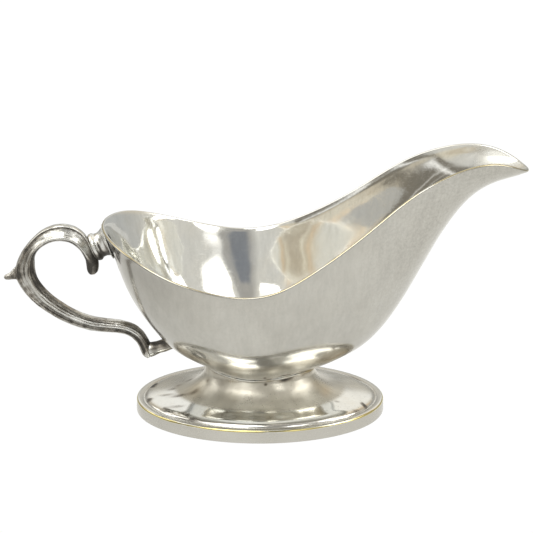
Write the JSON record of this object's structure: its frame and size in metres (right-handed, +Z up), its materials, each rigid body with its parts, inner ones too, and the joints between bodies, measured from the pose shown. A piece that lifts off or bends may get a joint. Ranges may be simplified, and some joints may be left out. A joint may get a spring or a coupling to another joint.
{
  "type": "footed sauce boat",
  "caption": "Silver-plated footed sauce boat: deep oval bowl with a long rising spout, oval pedestal foot and a cast scroll handle with a thumb spur.",
  "frame": {"origin": "centre of the oval foot on the table plane, midway along the foot's length and width", "axes": "+X from the handle towards the pouring spout, +Z up, X-Z is the plane of symmetry"},
  "size_m": [0.2275, 0.0932, 0.1181],
  "materials": {
    "plate_bowl": "worn silver plate over brass, satin outside and polished inside",
    "plate_foot": "worn silver plate over brass with small tarnish pits",
    "plate_band": "silver plate rubbed through to brass along the bead",
    "plate_cast": "cast brass, silver plated, dark tarnish in the hollows",
    "solder": "dull solder with brown tarnish"
  },
  "bodies": {
    "root": {"bowl": "plate_bowl", "foot": "plate_foot", "foot_rim_band": "plate_band", "foot_band_solder": "solder", "foot_neck_solder": "solder", "handle": "plate_cast", "handle_upper_socket": "plate_cast", "handle_lower_lug": "plate_cast", "upper_handle_solder": "solder", "lower_handle_solder": "solder"}
  },
  "joints": []
}
